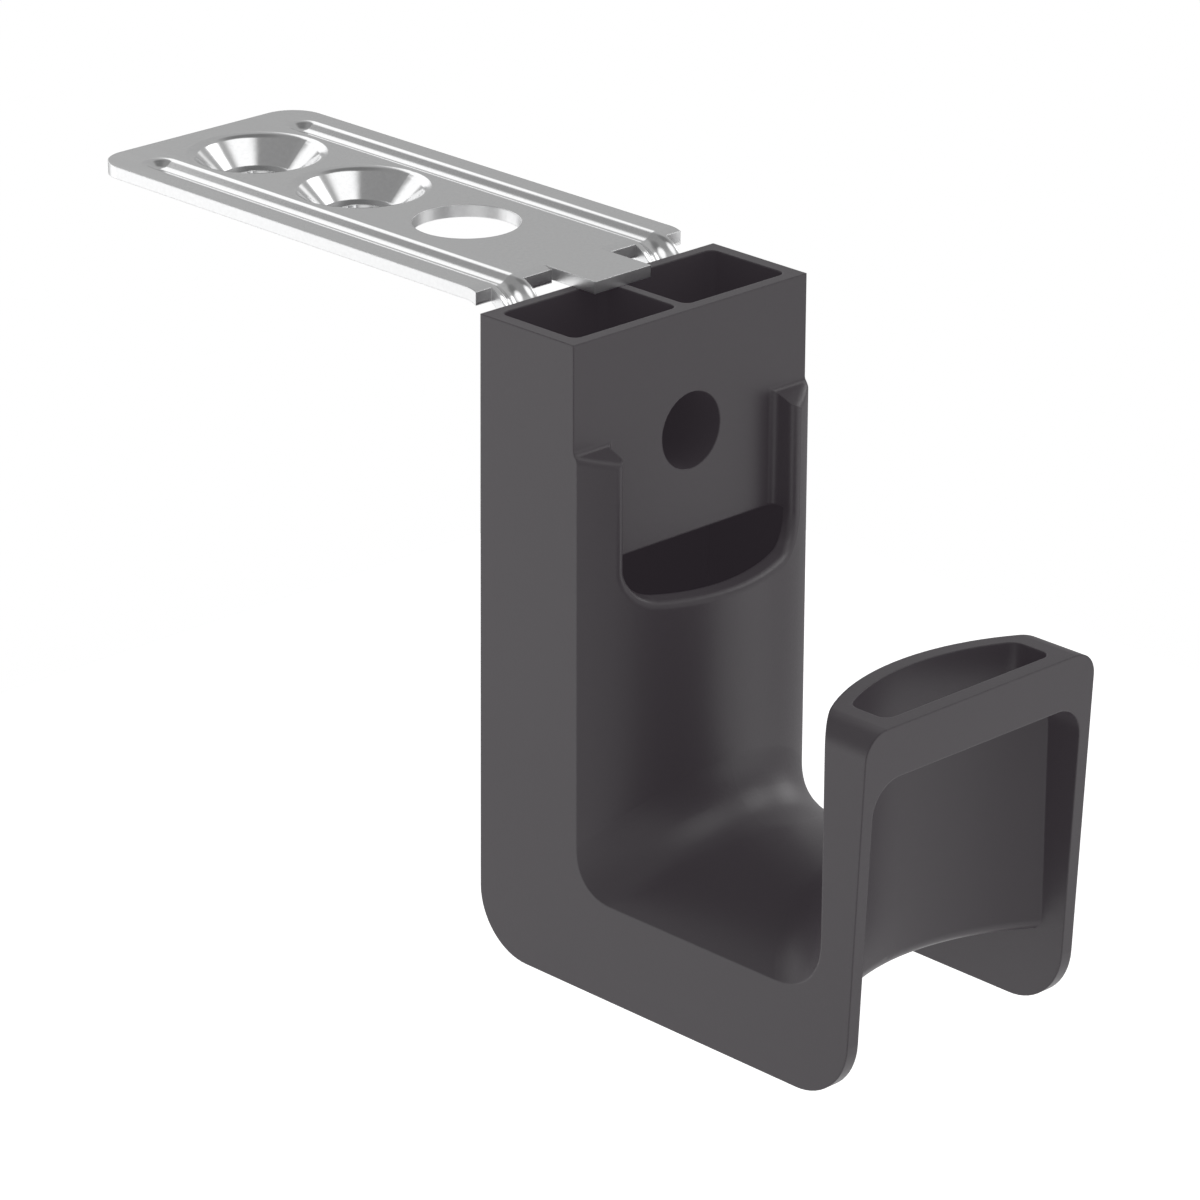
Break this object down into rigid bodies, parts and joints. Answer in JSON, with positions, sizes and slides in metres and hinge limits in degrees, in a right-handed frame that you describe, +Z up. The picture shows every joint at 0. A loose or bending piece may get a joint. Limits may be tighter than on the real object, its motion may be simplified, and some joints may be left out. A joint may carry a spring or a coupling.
{
  "type": "j hook cable support",
  "caption": "Moulded J-shaped hook that carries a bundle of cables, riveted to a folded steel bracket for fixing under a ceiling.",
  "frame": {"origin": "centre of the bracket's rod hole, in the face that lies against the ceiling", "axes": "+X across the hook, -Y the way the hook opens (the bracket's plate runs back along +Y), +Z up towards the ceiling"},
  "size_m": [0.0318, 0.1138, 0.0685],
  "materials": {
    "hook_nylon": "satin, moulded nylon",
    "galvanised_sheet": "bright galvanised",
    "rivet_steel": "zinc plated"
  },
  "bodies": {
    "root": {"hook_body": "hook_nylon", "ceiling_bracket": "galvanised_sheet", "rivet": "rivet_steel"}
  },
  "joints": []
}
